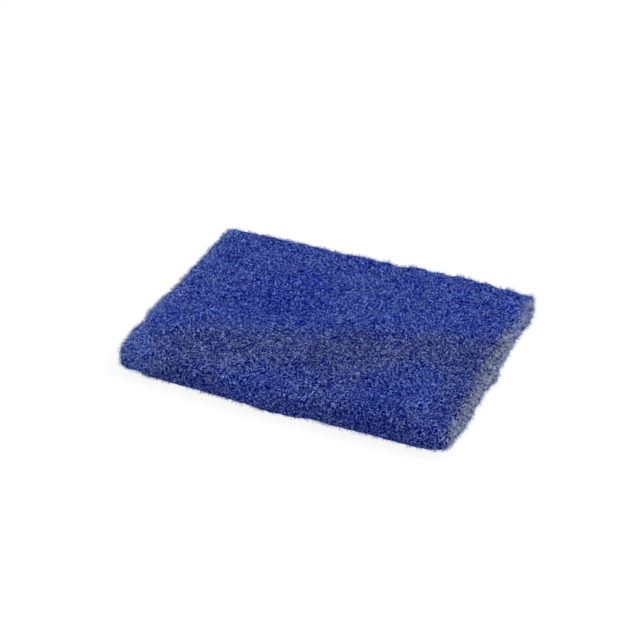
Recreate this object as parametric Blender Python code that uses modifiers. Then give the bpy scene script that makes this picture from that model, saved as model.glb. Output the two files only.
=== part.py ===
"""A non-scratch scrub pad: one block cut from a lofty web of crimped nylon fibre.

The block is a single piece. Its knife-cut outline waves a little, its rims are soft, its
corners are worn to different radii, and its upper face and sides carry the tufted nap of
the web. The underside is the plane that the pad lies on. Sizes are in metres, +Z is up,
+X runs along the long side, and the origin is the middle of the underside.
"""

import math

import bmesh
import bpy
from mathutils import Vector, noise

# The cut block, over its tufts
PAD_LENGTH = 0.1000
PAD_WIDTH = 0.0750
PAD_THICKNESS = 0.0098
RIM_RADIUS = 0.0021
RIM_STEPS = 3
CORNER_STEPS = 5
ROUND_PROFILE = 0.5

# How round the four upright corners are: (side along X, side along Y, radius)
CORNERS = (
    (-1, -1, 0.0034),
    (1, -1, 0.0036),
    (1, 1, 0.0022),
    (-1, 1, 0.0026),
)

# The sides of the outline: (row of a point's coordinate, sign, where its waves are read)
SIDES = {"left": (0, -1, 11.0), "right": (0, 1, 23.0), "front": (1, -1, 37.0), "back": (1, 1, 53.0)}

# The knife-cut outline: (side, middle of the bulge along it, half its length, how far it
# stands out). A negative bulge is a hollow.
BULGES = (
    ("front", -0.0020, 0.0130, 0.0010),
    ("front", 0.0100, 0.0035, -0.0006),
    ("front", -0.0400, 0.0150, -0.0004),
    ("right", -0.0310, 0.0070, -0.0007),
    ("right", -0.0155, 0.0035, -0.0004),
    ("right", 0.0030, 0.0060, 0.0003),
    ("right", 0.0350, 0.0060, 0.0009),
    ("back", 0.0240, 0.0130, 0.0010),
    ("left", 0.0200, 0.0160, -0.0003),
)
CUT_WAVE = 0.0003
CUT_WAVE_LENGTH = 0.0060
CUT_REACH = 0.0100

# The soft faces: broad swells on top, and corners that thumb and knife have pinched
SWELL = 0.0002
SWELL_LENGTH = 0.0240
PINCH_RADIUS = 0.0120
PINCHED_CORNERS = (
    (-1, -1, 0.0004, 0.0016),
    (1, -1, 0.0004, 0.0010),
    (1, 1, 0.0, 0.0008),
    (-1, 1, 0.0003, 0.0003),
)

# The nap: tufts a few millimetres apart
NAP_GRID = 0.0017
NAP_RELIEF = 0.0010
NAP_LEVEL = 0.4
TUFT_SPACING = 0.0044
FINE_TUFT_RATIO = 2.1
FINE_TUFT_SHARE = 0.5
FINE_TUFT_SHIFT = Vector((7.0, 3.0, 1.0))
NAP_START = 0.0022
EVEN_FACTOR = 0.5
EVEN_PASSES = 3

# Dyed nylon
BLUE = (0.030, 0.051, 0.262, 1.0)
ROUGHNESS = 0.62

SIZES = Vector((PAD_LENGTH, PAD_WIDTH, PAD_THICKNESS))


def clear_scene():
    for item in list(bpy.data.objects):
        bpy.data.objects.remove(item)


def ease(share):
    """0 below 0, 1 above 1, and a smooth step between."""
    share = min(max(share, 0.0), 1.0)
    return share * share * (3.0 - 2.0 * share)


def upright_edge(mesh, side_x, side_y):
    """The edge of the box that stands at one of its four corners."""
    for edge in mesh.edges:
        ends = [vert.co for vert in edge.verts]
        if all(end.x * side_x > 0 and end.y * side_y > 0 for end in ends):
            return edge
    return None


def rim_edges(mesh):
    """The edges that run round the top and the bottom of the block."""
    half = PAD_THICKNESS / 2
    return [edge for edge in mesh.edges if abs(edge.verts[0].co.z + edge.verts[1].co.z) > half]


def cut_block(collection):
    """The block as the knife leaves it, with round corners and soft rims."""
    mesh = bmesh.new()
    bmesh.ops.create_cube(mesh, size=1.0)
    bmesh.ops.scale(mesh, vec=SIZES, verts=mesh.verts)
    for side_x, side_y, radius in CORNERS:
        bmesh.ops.bevel(
            mesh, geom=[upright_edge(mesh, side_x, side_y)], offset=radius,
            segments=CORNER_STEPS, profile=ROUND_PROFILE, affect="EDGES",
        )
    bmesh.ops.bevel(
        mesh, geom=rim_edges(mesh), offset=RIM_RADIUS,
        segments=RIM_STEPS, profile=ROUND_PROFILE, affect="EDGES",
    )
    bmesh.ops.translate(mesh, vec=(0, 0, PAD_THICKNESS / 2), verts=mesh.verts)
    data = bpy.data.meshes.new("cut_block")
    mesh.to_mesh(data)
    mesh.free()
    block = bpy.data.objects.new("cut_block", data)
    collection.objects.link(block)
    return block


def gridded(block, name, collection):
    """The same block as a new object, whose faces are an even grid for the nap."""
    pad = bpy.data.objects.new(name, block.data.copy())
    collection.objects.link(pad)
    remesh = pad.modifiers.new("nap grid", "REMESH")
    remesh.mode = "VOXEL"
    remesh.voxel_size = NAP_GRID
    even = pad.modifiers.new("even spacing", "SMOOTH")
    even.factor = EVEN_FACTOR
    even.iterations = EVEN_PASSES
    rims = pad.modifiers.new("rims kept full", "SHRINKWRAP")
    rims.target = block
    rims.wrap_method = "NEAREST_SURFACEPOINT"
    graph = bpy.context.evaluated_depsgraph_get()
    data = bpy.data.meshes.new_from_object(pad.evaluated_get(graph))
    data.name = name
    pad.modifiers.clear()
    pad.data = data
    bpy.data.objects.remove(block)
    return pad


def cut_line(side, along):
    """How far the outline of one side stands out at a place along it."""
    out = CUT_WAVE * noise.noise(Vector((along / CUT_WAVE_LENGTH, SIDES[side][2], 0)))
    for bulge_side, middle, half_length, height in BULGES:
        if bulge_side == side:
            out += height * math.exp(-(((along - middle) / half_length) ** 2))
    return out


def wave_outline(co):
    """Moves a point near a side out or in with that side's cut line."""
    moved = co.copy()
    for side, (row, sign, _) in SIDES.items():
        if co[row] * sign > 0:
            nearness = ease(1 - (SIZES[row] / 2 - abs(co[row])) / CUT_REACH)
            moved[row] += sign * nearness * cut_line(side, co[1 - row])
    return moved


def pinch(co):
    """How far a point of the plan is pressed down from above, and lifted from below."""
    down, lift = 0.0, 0.0
    for side_x, side_y, pressed, lifted in PINCHED_CORNERS:
        corner = Vector((side_x * PAD_LENGTH / 2, side_y * PAD_WIDTH / 2))
        near = ease(1 - (co.xy - corner).length / PINCH_RADIUS)
        down += pressed * near
        lift += lifted * near
    return down, lift


def tufts(co):
    """How far the nap stands out at a point: out on a tuft, in between tufts."""
    spot = co / TUFT_SPACING
    coarse = abs(noise.noise(spot))
    fine = FINE_TUFT_SHARE * abs(noise.noise(FINE_TUFT_RATIO * spot + FINE_TUFT_SHIFT))
    return NAP_RELIEF * (NAP_LEVEL - min(coarse + fine, 1.0))


def soften(pad):
    """Waves the outline, pinches the corners and raises the nap above a flat underside."""
    mesh = bmesh.new()
    mesh.from_mesh(pad.data)
    mesh.normal_update()
    outward = {vert: vert.normal.copy() for vert in mesh.verts}
    for vert in mesh.verts:
        height = max(vert.co.z, 0.0)
        share = min(height / PAD_THICKNESS, 1.0)
        down, lift = pinch(vert.co)
        swell = SWELL * noise.noise(Vector((vert.co.x, vert.co.y, 0)) / SWELL_LENGTH)
        nap = ease(height / NAP_START) * tufts(vert.co)
        vert.co = wave_outline(vert.co) + nap * outward[vert]
        vert.co.z = height + share * (swell - down) + (1 - share) * lift + nap * outward[vert].z
    mesh.to_mesh(pad.data)
    mesh.free()


def fit_to_size(pad):
    """Makes the overall sizes exact, with the origin at the middle of the underside."""
    rows = list(zip(*(vert.co for vert in pad.data.vertices)))
    low = Vector([min(row) for row in rows])
    high = Vector([max(row) for row in rows])
    base = Vector(((low.x + high.x) / 2, (low.y + high.y) / 2, low.z))
    grow = Vector([wanted / (top - bottom) for wanted, top, bottom in zip(SIZES, high, low)])
    for vert in pad.data.vertices:
        vert.co = (vert.co - base) * grow


def dyed_nylon():
    material = bpy.data.materials.new("dyed_nylon_web")
    material.use_nodes = True
    shader = material.node_tree.nodes["Principled BSDF"]
    shader.inputs["Base Color"].default_value = BLUE
    shader.inputs["Roughness"].default_value = ROUGHNESS
    shader.inputs["Metallic"].default_value = 0.0
    material.diffuse_color = BLUE
    return material


def main():
    clear_scene()
    collection = bpy.data.collections.new("scrub_pad")
    bpy.context.scene.collection.children.link(collection)
    pad = gridded(cut_block(collection), "scrub_pad", collection)
    soften(pad)
    fit_to_size(pad)
    pad.data.materials.clear()
    pad.data.materials.append(dyed_nylon())
    pad.data.shade_smooth()


main()
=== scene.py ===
"""A non-scratch scrub pad, dressed with the crimped nylon fibres that it is made of.

Lengths are in metres, and places are in the CAD's frame.
"""

import math

import bmesh
import bpy
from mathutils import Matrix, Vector, noise


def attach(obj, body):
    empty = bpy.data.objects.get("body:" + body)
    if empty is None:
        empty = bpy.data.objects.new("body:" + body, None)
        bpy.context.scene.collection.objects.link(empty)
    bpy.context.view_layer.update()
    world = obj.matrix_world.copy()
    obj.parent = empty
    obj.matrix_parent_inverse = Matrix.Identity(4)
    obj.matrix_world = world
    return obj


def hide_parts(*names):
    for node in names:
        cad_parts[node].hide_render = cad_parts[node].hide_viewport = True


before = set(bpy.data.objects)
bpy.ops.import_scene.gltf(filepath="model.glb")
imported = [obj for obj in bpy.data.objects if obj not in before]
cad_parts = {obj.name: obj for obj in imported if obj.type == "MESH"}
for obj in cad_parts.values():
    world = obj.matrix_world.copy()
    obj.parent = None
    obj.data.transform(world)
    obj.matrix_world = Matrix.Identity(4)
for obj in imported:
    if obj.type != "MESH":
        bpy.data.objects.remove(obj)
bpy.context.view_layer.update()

scene = bpy.context.scene

# Body of the web. The pad is one block, cut with a knife from a lofty non-woven web of crimped
# nylon staple fibre, which is bonded with resin where the fibres cross. This piece is the dense
# inside of the block: it shows as a dark blue between the fibres of its faces, and that dark
# ground is painted shade, where light is lost among the fibres.

MERGE_WITHIN = 0.00001
# The skin's lumps, which begin a little above the underside
LUMP_HEIGHT = 0.0008
LUMP_SIZE = 0.005
LUMPS_FROM = 0.0008
# A tuft of the web that the knife pulled out at the right end
TUFT_PLACE = (0.0500, 0.0005, 0.0030)
TUFT_RADIUS = 0.0030
TUFT_HEIGHT = 0.0016
# The body's own even grid, how far it lies below the skin, and its clumps
BODY_GRID = 0.0009
BODY_DEPTH = 0.00035
CLUMP_HEIGHT = 0.00035
CLUMP_SIZE = 0.0018


def linear(code):
    """An sRGB hex code as linear red, green, blue and alpha."""
    parts = [int(code[i:i + 2], 16) / 255 for i in (0, 2, 4)]
    return [p / 12.92 if p <= 0.04045 else ((p + 0.055) / 1.055) ** 2.4 for p in parts] + [1.0]


def add(tree, kind, links, **settings):
    """Adds a node. links gives each input, by name or number, its value or what feeds it: an
    output, or a node for its first output."""
    node = tree.nodes.new(kind)
    for name, value in settings.items():
        setattr(node, name, value)
    for key, value in links.items():
        if isinstance(value, bpy.types.Node):
            value = value.outputs[0]
        if isinstance(value, bpy.types.NodeSocket):
            tree.links.new(value, node.inputs[key])
        else:
            node.inputs[key].default_value = value
    return node


def put_in_scene(name, data):
    """An object at the origin, with its place in its mesh."""
    thing = bpy.data.objects.new(name, data)
    scene.collection.objects.link(thing)
    return thing


def merged_copy(source):
    """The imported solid's mesh, with its loose triangles joined."""
    mesh = bmesh.new()
    mesh.from_mesh(source.data)
    bmesh.ops.remove_doubles(mesh, verts=mesh.verts, dist=MERGE_WITHIN)
    data = bpy.data.meshes.new("skin")
    mesh.to_mesh(data)
    mesh.free()
    data.shade_smooth()
    return data


def plain_mesh(thing):
    """Turns an object's modifiers into a mesh without them."""
    thing.data = bpy.data.meshes.new_from_object(
        thing.evaluated_get(bpy.context.evaluated_depsgraph_get())
    )
    thing.modifiers.clear()


def make_uneven(mesh):
    """Raises and lowers the skin a little, as an uneven web does, and pulls out the tuft. The
    underside stays flat."""
    normals = [vertex.normal.copy() for vertex in mesh.vertices]
    for vertex, normal in zip(mesh.vertices, normals):
        above = min(max(vertex.co.z / LUMPS_FROM - 1, 0), 1)
        lump = LUMP_HEIGHT * above * noise.noise(vertex.co / LUMP_SIZE)
        tuft = max(1 - (vertex.co - Vector(TUFT_PLACE)).length / TUFT_RADIUS, 0)
        vertex.co += normal * (lump + TUFT_HEIGHT * tuft)


skin = put_in_scene("skin", merged_copy(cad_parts["scrub_pad"]))
make_uneven(skin.data)

body = put_in_scene("web_body", skin.data.copy())
grid = body.modifiers.new("even grid", "REMESH")
grid.mode = "VOXEL"
grid.voxel_size = BODY_GRID
inset = body.modifiers.new("below the fibres", "DISPLACE")
inset.mid_level = 0
inset.strength = -BODY_DEPTH
clumps = bpy.data.textures.new("clumps", "CLOUDS")
clumps.noise_scale = CLUMP_SIZE
relief = body.modifiers.new("clumps", "DISPLACE")
relief.texture = clumps
relief.texture_coords = "LOCAL"
relief.strength = CLUMP_HEIGHT
plain_mesh(body)
body.data.shade_smooth()

# The dye took unevenly, in clouds. It took less along a broad band across the web, and more behind
# the band. The right end is greyer and lighter, partly from its frosted cut ends and partly as
# painted light from the lamps and the white table. The left end is a lighter blue, as painted
# light. Each change is to how greyed the dye is, and to how many times lighter.
CLOUD_SIZE = 0.016
CLOUD_GREYED = 0.5
CLOUD_LIGHTER = 0.55
CLOUD_SHIFT = 0.016
GREYED = 0.21
BAND_POINT = (0.000, -0.0142, 0.0)
BAND_ACROSS = (-0.310, 0.951, 0.0)
BAND_HALF_WIDTH = 0.020
BAND_GREYED = 0.31
BAND_LIGHTER = -0.20
BEHIND_GREYED = -0.52
BEFORE_GREYED = 0.04
BEFORE_LIGHTER = -0.16
RIGHT_FROM = 0.0450
RIGHT_TO = 0.0500
RIGHT_GREYED = 1.3
RIGHT_LIGHTER = 1.7
LEFT_FROM = -0.0435
LEFT_TO = -0.0490
LEFT_GREYED = -0.6
LEFT_LIGHTER = 1.7
# Where the dye went deeper, or less deep: place, radius, change of greyed and of lighter. The
# change is whole within the core of a patch.
PATCH_CORE = 0.3
DYE_PATCHES = (
    ((-0.015, 0.008, 0.0), 0.018, -0.20, -0.28),
    ((-0.022, 0.001, 0.0), 0.010, -0.10, -0.18),
    ((0.026, -0.031, 0.0), 0.011, -0.10, -0.25),
    ((-0.010, -0.036, 0.0), 0.010, -0.12, 0.05),
    ((-0.041, 0.005, 0.0), 0.014, -0.15, 0.08),
    ((-0.045, -0.020, 0.0), 0.014, -0.15, 0.15),
    ((0.032, -0.020, 0.0), 0.014, -0.20, 0.10),
    ((0.005, 0.022, 0.0), 0.008, 0.15, 0.20),
    ((-0.026, -0.018, 0.0), 0.009, -0.10, 0.30),
    ((-0.048, -0.036, 0.0), 0.013, -0.35, 0.90),
    ((-0.046, 0.037, 0.0), 0.008, -0.10, 0.60),
    ((0.0017, 0.0279, 0.0), 0.0009, 1.00, 1.50),
)
# Where the dye went deep and where it is greyed, from the painted shade between strands to the
# lightest strand
DEEP_DYE_AND_SHADE = ("00045c", "0218ac", "1640f0", "4474ff", "a0c0ff")
GREYED_DYE_AND_SHADE = ("010438", "0a166c", "364cac", "7c8ecc", "d0dcf4")


def dye_and_painted_light(tree, place):
    """How greyed the dye leaves a place, and how many times lighter, with painted light at the
    left and right ends.
    """
    cloud = add(
        tree, "ShaderNodeTexNoise",
        {"Vector": place, "Scale": 1 / CLOUD_SIZE, "Detail": 3.0, "Roughness": 0.6},
    ).outputs["Color"]
    cloud = add(tree, "ShaderNodeVectorMath", {0: cloud, 1: (0.5, 0.5, 0.5)}, operation="SUBTRACT")
    parts = add(tree, "ShaderNodeSeparateXYZ", {0: cloud}).outputs
    greyed = add(
        tree, "ShaderNodeMath", {0: parts["X"], 1: CLOUD_GREYED, 2: GREYED},
        operation="MULTIPLY_ADD",
    )
    lighter = add(
        tree, "ShaderNodeMath", {0: parts["Y"], 1: CLOUD_LIGHTER, 2: 1.0},
        operation="MULTIPLY_ADD",
    )
    moved = add(
        tree, "ShaderNodeVectorMath", {0: cloud, 1: (CLOUD_SHIFT,) * 3, 2: place},
        operation="MULTIPLY_ADD",
    )
    level = add(tree, "ShaderNodeVectorMath", {0: moved, 1: (1.0, 1.0, 0.0)}, operation="MULTIPLY")
    behind = add(tree, "ShaderNodeVectorMath", {0: level, 1: BAND_POINT}, operation="SUBTRACT")
    behind = add(
        tree, "ShaderNodeVectorMath", {0: behind, 1: BAND_ACROSS}, operation="DOT_PRODUCT"
    ).outputs["Value"]
    beside = add(tree, "ShaderNodeMath", {0: behind}, operation="ABSOLUTE")
    x = add(tree, "ShaderNodeSeparateXYZ", {0: place}).outputs["X"]
    # What each mark is measured by, where it begins, where it is whole, and its changes
    marks = [
        (beside, BAND_HALF_WIDTH, 0.0, BAND_GREYED, BAND_LIGHTER),
        (behind, 0.0, BAND_HALF_WIDTH, BEHIND_GREYED, 0.0),
        (behind, 0.0, -BAND_HALF_WIDTH, BEFORE_GREYED, BEFORE_LIGHTER),
        # The two ends: painted light, and at the right end frosted cut ends too
        (x, RIGHT_FROM, RIGHT_TO, RIGHT_GREYED, RIGHT_LIGHTER),
        (x, LEFT_FROM, LEFT_TO, LEFT_GREYED, LEFT_LIGHTER),
    ]
    for spot, radius, spot_greyed, spot_lighter in DYE_PATCHES:
        away = add(tree, "ShaderNodeVectorMath", {0: level, 1: spot}, operation="DISTANCE")
        marks.append(
            (away.outputs["Value"], radius, radius * PATCH_CORE, spot_greyed, spot_lighter)
        )
    for measure, begins, whole, mark_greyed, mark_lighter in marks:
        share = add(
            tree, "ShaderNodeMapRange", {0: measure, 1: begins, 2: whole},
            interpolation_type="SMOOTHSTEP",
        )
        greyed = add(
            tree, "ShaderNodeMath", {0: share, 1: mark_greyed, 2: greyed},
            operation="MULTIPLY_ADD",
        )
        lighter = add(
            tree, "ShaderNodeMath", {0: share, 1: mark_lighter, 2: lighter},
            operation="MULTIPLY_ADD",
        )
    return greyed, lighter


def nylon_colour(tree, tone, greyed):
    """Nylon dyed in the mass, from the painted shade between strands to the lightest strand."""
    ramps = []
    for codes in (DEEP_DYE_AND_SHADE, GREYED_DYE_AND_SHADE):
        ramp = add(tree, "ShaderNodeValToRGB", {"Fac": tone})
        stops = ramp.color_ramp.elements
        for i in range(1, len(codes) - 1):
            stops.new(i / (len(codes) - 1))
        for stop, code in zip(stops, codes):
            stop.color = linear(code)
        ramps.append(ramp)
    return add(
        tree, "ShaderNodeMix", {0: greyed, 6: ramps[0], 7: ramps[1]}, data_type="RGBA"
    ).outputs[2]


# Nylon 6 seen in depth: matt, because light is lost among the fibres. Its colour is painted shade
# on a dark ground, with strands drawn on it that follow the lines where a noise crosses its middle
# value, layer over layer, each lighter than the last, as painted shade that deepens downward:
# the noise's place, its scale per metre, the strand's half width in its value, and the tone.
# That draws them about 0.05 mm thick, as the real fibres are. The tone is whole within the core
# of a strand.
DRAWN_STRANDS = (
    ((0.0, 0.0, 0.0), 1500.0, 0.024, 0.10),
    ((0.3, 0.1, 0.2), 1300.0, 0.020, 0.38),
    ((0.1, 0.4, 0.3), 1100.0, 0.019, 1.30),
    ((0.2, 0.3, 0.1), 900.0, 0.017, 2.60),
)
STRAND_CORE = 0.3
STRAND_RELIEF = 0.00030
# Bits of each strand stand in light and bits in shade, as it rises and sinks through the web.
BIT_SIZE = 0.00029
BIT_LIGHTER = 1.9


def deep_nylon():
    material = bpy.data.materials.new("nylon_6_web_in_depth")
    material.use_nodes = True
    tree = material.node_tree
    place = add(tree, "ShaderNodeTexCoord", {}).outputs["Object"]
    tone = 0.0
    for offset, scale, half_width, strand_tone in DRAWN_STRANDS:
        moved = add(tree, "ShaderNodeVectorMath", {0: place, 1: offset}, operation="ADD")
        wave = add(tree, "ShaderNodeTexNoise", {"Vector": moved, "Scale": scale, "Detail": 1.0})
        aside = add(tree, "ShaderNodeMath", {0: wave, 1: 0.5}, operation="SUBTRACT")
        aside = add(tree, "ShaderNodeMath", {0: aside}, operation="ABSOLUTE")
        drawn = add(
            tree, "ShaderNodeMapRange", {0: aside, 1: half_width, 2: half_width * STRAND_CORE},
            interpolation_type="SMOOTHSTEP",
        )
        tone = add(tree, "ShaderNodeMix", {0: drawn, 2: tone, 3: strand_tone}, data_type="FLOAT")
    greyed, lighter = dye_and_painted_light(tree, place)
    bit = add(tree, "ShaderNodeTexVoronoi", {"Vector": place, "Scale": 1 / BIT_SIZE})
    bit = add(tree, "ShaderNodeSeparateXYZ", {0: bit.outputs["Color"]}).outputs["X"]
    bit = add(tree, "ShaderNodeMath", {0: bit, 1: BIT_LIGHTER}, operation="MULTIPLY")
    tone = add(tree, "ShaderNodeMath", {0: tone, 1: lighter}, operation="MULTIPLY")
    tone = add(tree, "ShaderNodeMath", {0: tone, 1: bit}, operation="MULTIPLY")
    shader = tree.nodes["Principled BSDF"]
    tree.links.new(nylon_colour(tree, tone, greyed), shader.inputs["Base Color"])
    shader.inputs["Roughness"].default_value = 0.85
    shader.inputs["IOR"].default_value = 1.53
    shader.inputs["Specular IOR Level"].default_value = 0.02
    raised = add(
        tree, "ShaderNodeBump", {"Height": tone, "Strength": 0.6, "Distance": STRAND_RELIEF}
    )
    tree.links.new(raised.outputs["Normal"], shader.inputs["Normal"])
    return material


body.data.materials.clear()
body.data.materials.append(deep_nylon())
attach(body, "root")
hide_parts("scrub_pad")

# Fibres of the upper face. Staple nylon fibres, crimped into small curls, lie across each other
# in every direction and are bonded where they cross. They lie in three layers, the deepest of
# them drawn darker as painted shade, and here and there a loop stands out of the nap.

# Real fibres are about 0.05 mm thick. These are 0.06 mm, with three sides.
FIBRE_RADIUS = 0.000030
FIBRE_STEP = 0.00026
FIBRE_POINTS = 5
FIBRE_SIDES = 3
FIBRES_PER_AREA = 520000.0
# The knife leaves some fibres with fewer points than this, and they fall out
FEWEST_POINTS = 3
# What differs from fibre to fibre: the least of it, the most, and the seed of its draw
OWN_DRAWS = {
    "curl": (-0.7, 0.7, 5),
    "heading": (0.0, math.tau, 7),
    "tone": (-1.0, 1.0, 11),
    "greyed": (-0.15, 0.15, 12),
    "arch": (1.2, 2.2, 13),
    "loft": (0.0, 1.0, 17),
    "thickness": (0.75, 1.3, 19),
    "undyed": (0.0, 1.0, 23),
}
# A smooth noise that sways along each fibre: how far apart it is read for two fibres, and for
# two points of one
CURL_NOISE = (7.31, 0.7)
WEAVE_NOISE = (3.17, 1.0)
STREAK_NOISE = (1.7, 0.3)
NOISE_SPREAD = 3.6
WAVER = 0.25
# A face whose normal has more than this of up or down in it counts as level
LEVEL_FROM = 0.7
# Few fibres rise high: a fibre's nap is the given one times the least, and up to this much more
NAP_LEAST = 0.5
NAP_MORE = 1.6
LOFT_POWER = 3.0
# A few fibres took no dye, and frost gathers at a fibre's cut end
UNDYED_FROM = 0.992
UNDYED_LIGHTER = 0.5
FROST_POWER = 3.0
FROST_LIGHTER = 0.5
# Where the bake finds a strand's colour: its tone and greyed, kept in from the map's edges and
# moved a little along and around the strand
BAKE_SPAN = 0.92
BAKE_FROM = 0.04
BAKE_ALONG = 0.02
BAKE_AROUND = 0.015
# What each point of a fibre carries from node to node
HELD = {
    "fibre": "INT", "outward": "FLOAT_VECTOR", "rung": "FLOAT", "stray": "FLOAT",
    "tone": "FLOAT", "greyed": "FLOAT", "round": "FLOAT",
}


def web_tree():
    """Fibres over a skin: each is a chain of steps, whose heading turns by noise."""
    tree = bpy.data.node_groups.new("crimped_fibres", "GeometryNodeTree")
    # Fibres grow on faces between the lowest and the highest facing. Lie below 1 presses them
    # level on the sides, Nap and Depth are how far they weave out of the skin and in below it,
    # Stand sets them on end, and Reach is how far they may stray past the skin.
    inputs = {
        "Geometry": ("Skin",),
        "Float": (
            "Fibres per Area", "Lowest Facing", "Highest Facing", "Step", "Crimp", "Lie",
            "Nap", "Depth", "Stand", "Reach", "Radius", "Tone", "Tone Spread", "Shade", "Frost",
        ),
        "Int": ("Points", "Sides", "Seed"),
        "Material": ("Material",),
    }
    for kind, names in inputs.items():
        for name in names:
            tree.interface.new_socket(name, in_out="INPUT", socket_type="NodeSocket" + kind)
    tree.interface.new_socket("Fibres", in_out="OUTPUT", socket_type="NodeSocketGeometry")
    given = tree.nodes.new("NodeGroupInput").outputs
    position = add(tree, "GeometryNodeInputPosition", {})
    normal = add(tree, "GeometryNodeInputNormal", {})
    held = {}
    for name, kind in HELD.items():
        held[name] = add(tree, "GeometryNodeInputNamedAttribute", {"Name": name}, data_type=kind)
    who = held["fibre"]
    rung = held["rung"]
    own = {}
    for name, (least, most, seed) in OWN_DRAWS.items():
        links = {2: least, 3: most, "ID": who, "Seed": seed}
        own[name] = add(tree, "FunctionNodeRandomValue", links, data_type="FLOAT").outputs[1]

    def sway(apart, pace):
        """Smooth noise along a fibre, from about -1 to 1, that differs from fibre to fibre."""
        along = add(tree, "ShaderNodeMath", {0: rung, 1: pace}, operation="MULTIPLY")
        along = add(
            tree, "ShaderNodeMath", {0: who, 1: apart, 2: along}, operation="MULTIPLY_ADD"
        )
        wave = add(
            tree, "ShaderNodeTexNoise", {"W": along, "Scale": 1.0, "Detail": 0.0},
            noise_dimensions="1D",
        )
        return add(
            tree, "ShaderNodeMath", {0: wave, 1: NOISE_SPREAD, 2: -NOISE_SPREAD / 2},
            operation="MULTIPLY_ADD",
        )

    # Roots, on the faces of the skin that look the right way
    facing = add(tree, "ShaderNodeSeparateXYZ", {0: normal}).outputs["Z"]
    over = add(
        tree, "ShaderNodeMath", {0: facing, 1: given["Lowest Facing"]}, operation="GREATER_THAN"
    )
    under = add(
        tree, "ShaderNodeMath", {0: facing, 1: given["Highest Facing"]}, operation="LESS_THAN"
    )
    chosen = add(tree, "ShaderNodeMath", {0: over, 1: under}, operation="MULTIPLY")
    roots = add(
        tree, "GeometryNodeDistributePointsOnFaces",
        {
            "Mesh": given["Skin"], "Selection": chosen,
            "Density": given["Fibres per Area"], "Seed": given["Seed"],
        },
    )
    greyed, lighter = dye_and_painted_light(tree, position)
    tone = add(
        tree, "ShaderNodeMath", {0: own["tone"], 1: given["Tone Spread"], 2: given["Tone"]},
        operation="MULTIPLY_ADD",
    )
    tone = add(tree, "ShaderNodeMath", {0: tone, 1: lighter}, operation="MULTIPLY")
    undyed = add(
        tree, "ShaderNodeMath", {0: own["undyed"], 1: UNDYED_FROM}, operation="GREATER_THAN"
    )
    tone = add(
        tree, "ShaderNodeMath", {0: undyed, 1: UNDYED_LIGHTER, 2: tone}, operation="MULTIPLY_ADD"
    )
    greyed = add(tree, "ShaderNodeMath", {0: greyed, 1: own["greyed"]}, operation="ADD")
    greyed = add(tree, "ShaderNodeMath", {0: greyed, 1: undyed}, operation="ADD")
    points = roots
    for name, value in (
        ("fibre", add(tree, "GeometryNodeInputIndex", {})),
        ("outward", roots.outputs["Normal"]),
        ("tone", tone),
        ("greyed", greyed),
    ):
        points = add(
            tree, "GeometryNodeStoreNamedAttribute",
            {"Geometry": points, "Name": name, "Value": value}, data_type=HELD[name],
        )

    # Each root becomes a chain of points
    chain = add(
        tree, "GeometryNodeDuplicateElements",
        {"Geometry": points, "Amount": given["Points"]}, domain="POINT",
    )
    points = add(
        tree, "GeometryNodeStoreNamedAttribute",
        {"Geometry": chain, "Name": "rung", "Value": chain.outputs["Duplicate Index"]},
        data_type=HELD["rung"],
    )
    fibres = add(
        tree, "GeometryNodePointsToCurves",
        {"Points": points, "Curve Group ID": who, "Weight": rung},
    )

    # The heading turns by a curl of its own and by noise, and the steps add up to a path
    curl = add(tree, "ShaderNodeMath", {0: own["curl"], 1: sway(*CURL_NOISE)}, operation="ADD")
    curl = add(tree, "ShaderNodeMath", {0: curl, 1: given["Crimp"]}, operation="MULTIPLY")
    turned = add(
        tree, "GeometryNodeAccumulateField", {"Value": curl, "Group ID": who}, data_type="FLOAT"
    ).outputs["Leading"]
    heading = add(tree, "ShaderNodeMath", {0: own["heading"], 1: turned}, operation="ADD")
    outward = held["outward"]
    looks = add(tree, "ShaderNodeSeparateXYZ", {0: outward}).outputs["Z"]
    looks = add(tree, "ShaderNodeMath", {0: looks}, operation="ABSOLUTE")
    level = add(tree, "ShaderNodeMath", {0: looks, 1: LEVEL_FROM}, operation="GREATER_THAN")
    aside = add(
        tree, "GeometryNodeSwitch", {0: level, 1: (0.0, 0.0, 1.0), 2: (1.0, 0.0, 0.0)},
        input_type="VECTOR",
    )
    across = add(
        tree, "ShaderNodeVectorMath", {0: outward, 1: aside}, operation="CROSS_PRODUCT"
    )
    across = add(tree, "ShaderNodeVectorMath", {0: across}, operation="NORMALIZE")
    upward = add(
        tree, "ShaderNodeVectorMath", {0: outward, 1: across}, operation="CROSS_PRODUCT"
    )
    along = add(tree, "ShaderNodeMath", {0: heading}, operation="COSINE")
    along = add(tree, "ShaderNodeMath", {0: along, 1: given["Step"]}, operation="MULTIPLY")
    along = add(tree, "ShaderNodeVectorMath", {0: across, 3: along}, operation="SCALE")
    rising = add(tree, "ShaderNodeMath", {0: heading}, operation="SINE")
    rising = add(tree, "ShaderNodeMath", {0: rising, 1: given["Step"]}, operation="MULTIPLY")
    rising = add(tree, "ShaderNodeMath", {0: rising, 1: given["Lie"]}, operation="MULTIPLY")
    rising = add(tree, "ShaderNodeVectorMath", {0: upward, 3: rising}, operation="SCALE")
    step = add(tree, "ShaderNodeVectorMath", {0: along, 1: rising}, operation="ADD")
    path = add(
        tree, "GeometryNodeAccumulateField", {"Value": step, "Group ID": who},
        data_type="FLOAT_VECTOR",
    ).outputs["Trailing"]
    spot = add(tree, "ShaderNodeVectorMath", {0: position, 1: path}, operation="ADD")

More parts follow.
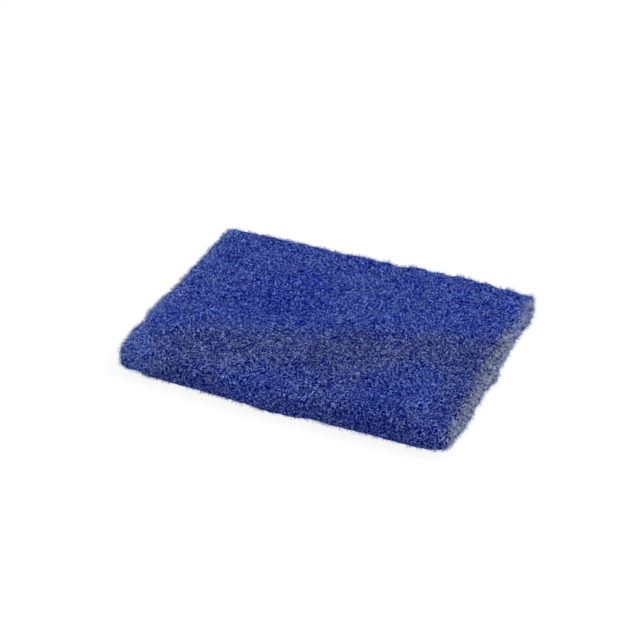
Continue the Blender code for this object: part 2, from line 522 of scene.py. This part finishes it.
    # The path is laid on the skin, then weaves out to the nap's height and in below it
    nearest = add(
        tree, "GeometryNodeProximity", {0: given["Skin"], "Sample Position": spot},
        target_element="FACES",
    )
    upright = add(
        tree, "GeometryNodeSampleNearestSurface",
        {"Mesh": given["Skin"], "Sample Position": spot, "Value": normal},
        data_type="FLOAT_VECTOR",
    )
    last = add(tree, "ShaderNodeMath", {0: given["Points"], 1: 1.0}, operation="SUBTRACT")
    share = add(tree, "ShaderNodeMath", {0: rung, 1: last}, operation="DIVIDE")
    arch = add(tree, "ShaderNodeMath", {0: share, 1: math.pi}, operation="MULTIPLY")
    arch = add(tree, "ShaderNodeMath", {0: arch}, operation="SINE")
    arch = add(
        tree, "ShaderNodeMath", {0: arch, 1: own["arch"], 2: -1.0}, operation="MULTIPLY_ADD"
    )
    weave = add(
        tree, "ShaderNodeMath", {0: sway(*WEAVE_NOISE), 1: WAVER, 2: arch},
        operation="MULTIPLY_ADD",
    )
    standing = add(tree, "ShaderNodeMath", {0: share, 1: 2.0, 2: -1.0}, operation="MULTIPLY_ADD")
    weave = add(
        tree, "ShaderNodeMix", {0: given["Stand"], 2: weave, 3: standing}, data_type="FLOAT"
    )
    loft = add(tree, "ShaderNodeMath", {0: own["loft"], 1: LOFT_POWER}, operation="POWER")
    loft = add(
        tree, "ShaderNodeMath", {0: loft, 1: NAP_MORE, 2: NAP_LEAST}, operation="MULTIPLY_ADD"
    )
    loft = add(tree, "ShaderNodeMath", {0: given["Nap"], 1: loft}, operation="MULTIPLY")
    depth = add(tree, "ShaderNodeMath", {0: given["Depth"], 1: -1.0}, operation="MULTIPLY")
    lift = add(tree, "ShaderNodeMapRange", {0: weave, 1: -1.0, 2: 1.0, 3: depth, 4: loft})
    lift = add(tree, "ShaderNodeVectorMath", {0: upright, 3: lift}, operation="SCALE")
    laid = add(
        tree, "ShaderNodeVectorMath", {0: nearest.outputs["Position"], 1: lift}, operation="ADD"
    )
    laid = add(tree, "ShaderNodeSeparateXYZ", {0: laid}).outputs
    z = add(tree, "ShaderNodeMath", {0: laid["Z"], 1: given["Radius"]}, operation="MAXIMUM")
    laid = add(tree, "ShaderNodeCombineXYZ", {"X": laid["X"], "Y": laid["Y"], "Z": z})

    # A strand is lighter where it stands high and darker where it sinks in, as painted shade, and
    # frosted towards its cut end
    frost = add(tree, "ShaderNodeMath", {0: share, 1: FROST_POWER}, operation="POWER")
    frost = add(tree, "ShaderNodeMath", {0: given["Frost"], 1: frost}, operation="MULTIPLY")
    greyed = add(
        tree, "ShaderNodeMath", {0: held["greyed"], 1: frost}, operation="ADD", use_clamp=True
    )
    shade = add(tree, "ShaderNodeClamp", {0: weave, 1: -1.0, 2: 1.0})
    shade = add(tree, "ShaderNodeMath", {0: given["Shade"], 1: shade}, operation="MULTIPLY")
    lighter = add(
        tree, "ShaderNodeMath", {0: frost, 1: FROST_LIGHTER, 2: shade}, operation="MULTIPLY_ADD"
    )
    tone = add(
        tree, "ShaderNodeMath", {0: held["tone"], 1: lighter}, operation="ADD", use_clamp=True
    )
    for name, value in (
        ("stray", nearest.outputs["Distance"]), ("greyed", greyed), ("tone", tone)
    ):
        fibres = add(
            tree, "GeometryNodeStoreNamedAttribute",
            {"Geometry": fibres, "Name": name, "Value": value}, data_type=HELD[name],
        )
    fibres = add(tree, "GeometryNodeSetPosition", {"Geometry": fibres, "Position": laid})

    # The knife has cut off what strays past the skin
    strayed = add(
        tree, "ShaderNodeMath", {0: held["stray"], 1: given["Reach"]}, operation="GREATER_THAN"
    )
    points_left = add(tree, "GeometryNodeSplineLength", {}).outputs[1]
    too_short = add(
        tree, "ShaderNodeMath", {0: points_left, 1: FEWEST_POINTS}, operation="LESS_THAN"
    )
    for selection, domain in ((strayed, "POINT"), (too_short, "CURVE")):
        fibres = add(
            tree, "GeometryNodeDeleteGeometry", {"Geometry": fibres, "Selection": selection},
            domain=domain,
        )

    # A round strand along each path
    ring = add(
        tree, "GeometryNodeCurvePrimitiveCircle",
        {"Resolution": given["Sides"], "Radius": given["Radius"]}, mode="RADIUS",
    )
    ring = add(
        tree, "GeometryNodeStoreNamedAttribute",
        {
            "Geometry": ring, "Name": "round",
            "Value": add(tree, "GeometryNodeSplineParameter", {}).outputs["Factor"],
        },
        data_type=HELD["round"],
    )
    strands = add(
        tree, "GeometryNodeCurveToMesh",
        {"Curve": fibres, "Profile Curve": ring, "Scale": own["thickness"], "Fill Caps": True},
    )
    around = add(tree, "ShaderNodeMath", {0: held["round"], 1: math.tau}, operation="MULTIPLY")
    for name, operation, along in (
        ("tone", "COSINE", sway(*STREAK_NOISE)), ("greyed", "SINE", 0.0)
    ):
        turn = add(tree, "ShaderNodeMath", {0: around}, operation=operation)
        place = add(
            tree, "ShaderNodeMath", {0: held[name], 1: BAKE_SPAN, 2: BAKE_FROM},
            operation="MULTIPLY_ADD",
        )
        place = add(
            tree, "ShaderNodeMath", {0: along, 1: BAKE_ALONG, 2: place}, operation="MULTIPLY_ADD"
        )
        place = add(
            tree, "ShaderNodeMath", {0: turn, 1: BAKE_AROUND, 2: place}, operation="MULTIPLY_ADD"
        )
        strands = add(
            tree, "GeometryNodeStoreNamedAttribute",
            {"Geometry": strands, "Name": name, "Value": place}, data_type=HELD[name],
        )
    both = add(tree, "ShaderNodeCombineXYZ", {"X": held["tone"], "Y": held["greyed"]})
    strands = add(
        tree, "GeometryNodeStoreNamedAttribute",
        {"Geometry": strands, "Name": "OFBake", "Value": both}, data_type="FLOAT2",
        domain="CORNER",
    )
    strands = add(tree, "GeometryNodeSetShadeSmooth", {"Geometry": strands})
    strands = add(tree, "GeometryNodeRealizeInstances", {"Geometry": strands})
    strands = add(
        tree, "GeometryNodeSetMaterial", {"Geometry": strands, "Material": given["Material"]}
    )
    add(tree, "NodeGroupOutput", {0: strands})
    return tree


# Nylon 6 fibre, melt-spun and dyed in the mass: smooth, with a soft shine along each strand.
# tone runs from the deepest dye, darkened by painted shade, to the lightest strand. greyed runs
# to where the dye took less, where a cut end has frosted, and to painted light at the right end.
def fibre_nylon():
    material = bpy.data.materials.new("nylon_6_spun_fibre")
    material.use_nodes = True
    tree = material.node_tree
    tone = add(tree, "ShaderNodeAttribute", {}, attribute_name="tone").outputs["Fac"]
    greyed = add(tree, "ShaderNodeAttribute", {}, attribute_name="greyed").outputs["Fac"]
    shader = tree.nodes["Principled BSDF"]
    tree.links.new(nylon_colour(tree, tone, greyed), shader.inputs["Base Color"])
    shader.inputs["Roughness"].default_value = 0.4
    shader.inputs["IOR"].default_value = 1.53
    shader.inputs["Specular IOR Level"].default_value = 0.1
    return material


WEB = web_tree()
FIBRE_NYLON = fibre_nylon()


def spin_web(name, sizes):
    """One plain mesh of fibres over the skin. sizes gives the tree's inputs by their names."""
    piece = put_in_scene(name, skin.data.copy())
    fibres = piece.modifiers.new("fibres", "NODES")
    fibres.node_group = WEB
    for socket in WEB.interface.items_tree:
        if socket.name in sizes:
            fibres[socket.identifier] = sizes[socket.name]
    plain_mesh(piece)
    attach(piece, "root")


WEB_SIZES = {
    "Fibres per Area": FIBRES_PER_AREA, "Step": FIBRE_STEP, "Crimp": 1.5, "Lie": 1.0,
    "Stand": 0.0, "Reach": 0.0009, "Radius": FIBRE_RADIUS, "Points": FIBRE_POINTS,
    "Sides": FIBRE_SIDES, "Tone Spread": 0.95, "Shade": 0.4, "Frost": 0.0,
    "Material": FIBRE_NYLON,
}

# The lower a layer's nap, the lower its tone: painted shade
for seed, tone, nap in (
    (1, 0.20, 0.00015),
    (2, 0.35, 0.00035),
    (3, 0.65, 0.00040),
):
    spin_web(
        f"upper_web_{seed}",
        WEB_SIZES | {
            "Lowest Facing": 0.5, "Highest Facing": 1.1, "Depth": 0.0005, "Nap": nap,
            "Tone": tone, "Seed": seed,
        },
    )

# Fibres of the underside. It is the same web of crimped and bonded nylon fibre, pressed flat by
# what the pad lies on, so its nap is the lowest of all.

spin_web(
    "under_web",
    WEB_SIZES | {
        "Fibres per Area": 800000.0, "Lowest Facing": -1.1, "Highest Facing": -0.5,
        "Depth": 0.0005, "Nap": 0.0001, "Tone": 0.5, "Seed": 4,
    },
)

# Fibres of the four cut sides. The knife has sheared the web, so these fibres lie nearer to
# level, as the web's layers do. The cut ends stand out between them, and there nylon frosts
# white.

spin_web(
    "side_web",
    WEB_SIZES | {
        "Fibres per Area": 2000000.0, "Lowest Facing": -0.75, "Highest Facing": 0.75,
        "Lie": 0.8, "Depth": 0.0005, "Nap": 0.00045, "Tone": 0.5, "Seed": 5,
    },
)
spin_web(
    "side_ends",
    WEB_SIZES | {
        "Fibres per Area": 800000.0, "Lowest Facing": -0.75, "Highest Facing": 0.75,
        "Lie": 0.8, "Depth": 0.0003, "Nap": 0.0005, "Stand": 0.6, "Reach": 0.0012,
        "Tone": 0.55, "Frost": 0.2, "Seed": 6,
    },
)
bpy.data.objects.remove(skin)

# The table under the pad: matt white paper, plain and level. It takes the pad's shadow, and the
# camera sees the rest of it as white.

TABLE_SIZE = 3.0
TABLE_BELOW = 0.0002
# How much of what the camera sees of the paper is plain white, and how bright that is
WHITE_SHARE = 0.85
WHITE_STRENGTH = 1.04


def white_paper():
    material = bpy.data.materials.new("matt_white_paper")
    material.use_nodes = True
    tree = material.node_tree
    rays = add(tree, "ShaderNodeLightPath", {}).outputs
    seen = add(
        tree, "ShaderNodeMath", {0: rays["Is Camera Ray"], 1: WHITE_SHARE}, operation="MULTIPLY"
    )
    white = add(
        tree, "ShaderNodeEmission", {"Color": linear("ffffff"), "Strength": WHITE_STRENGTH}
    )
    paper = add(tree, "ShaderNodeBsdfDiffuse", {"Color": linear("f2f2f2")})
    mixed = add(tree, "ShaderNodeMixShader", {0: seen, 1: paper, 2: white})
    tree.links.new(mixed.outputs[0], tree.nodes["Material Output"].inputs["Surface"])
    return material


table_grid = bmesh.new()
bmesh.ops.create_grid(table_grid, x_segments=1, y_segments=1, size=TABLE_SIZE / 2)
bmesh.ops.translate(table_grid, verts=table_grid.verts, vec=(0, 0, -TABLE_BELOW))
table_data = bpy.data.meshes.new("table")
table_grid.to_mesh(table_data)
table_grid.free()
table_data.materials.append(white_paper())
table = put_in_scene("table", table_data)

# Studio light: an even white surround, a soft lamp above and to the right, and two weaker ones
# low down, which light the right end and the left end.

SURROUND_STRENGTH = 0.5

world = bpy.data.worlds.new("studio")
scene.world = world
world.use_nodes = True
surround = world.node_tree
rays = add(surround, "ShaderNodeLightPath", {}).outputs
seen = add(
    surround, "ShaderNodeMath",
    {0: rays["Is Camera Ray"], 1: rays["Is Transmission Ray"]}, operation="MAXIMUM",
)
light = surround.nodes["Background"]
light.inputs["Color"].default_value = linear("ffffff")
light.inputs["Strength"].default_value = SURROUND_STRENGTH
white = add(surround, "ShaderNodeBackground", {"Color": linear("ffffff"), "Strength": 1.0})
mixed = add(surround, "ShaderNodeMixShader", {0: seen, 1: light, 2: white})
surround.links.new(mixed.outputs[0], surround.nodes["World Output"].inputs["Surface"])


def aimed(thing, place, aim):
    """Puts a lamp or camera in place and turns it to look at a point."""
    thing.location = place
    thing.rotation_euler = (Vector(place) - Vector(aim)).to_track_quat("Z", "Y").to_euler()


for name, place, spread, strength in (
    ("key_lamp", (0.5, 0.2, 0.7), 30.0, 1.7),
    ("side_lamp", (0.7, -0.35, 0.25), 25.0, 0.8),
    ("left_lamp", (-0.7, 0.1, 0.15), 25.0, 0.8),
):
    lamp = bpy.data.lights.new(name, "SUN")
    lamp.angle = math.radians(spread)
    lamp.energy = strength
    aimed(put_in_scene(name, lamp), place, (0, 0, 0))

# The photograph's camera: a short telephoto lens, which looks down on the pad from its front.

LENS = 95.7
NEAREST_SEEN = 0.01
AZIMUTH = math.radians(23.2)
ELEVATION = math.radians(33.9)
DISTANCE = 0.4952
TARGET = Vector((-0.0080, 0.0110, 0.0))

away = Vector((
    math.sin(AZIMUTH) * math.cos(ELEVATION),
    -math.cos(AZIMUTH) * math.cos(ELEVATION),
    math.sin(ELEVATION),
))
camera_data = bpy.data.cameras.new("camera")
camera_data.lens = LENS
camera_data.clip_start = NEAREST_SEEN
camera = put_in_scene("camera", camera_data)
aimed(camera, TARGET + DISTANCE * away, TARGET)
scene.camera = camera
scene.view_settings.view_transform = "Standard"
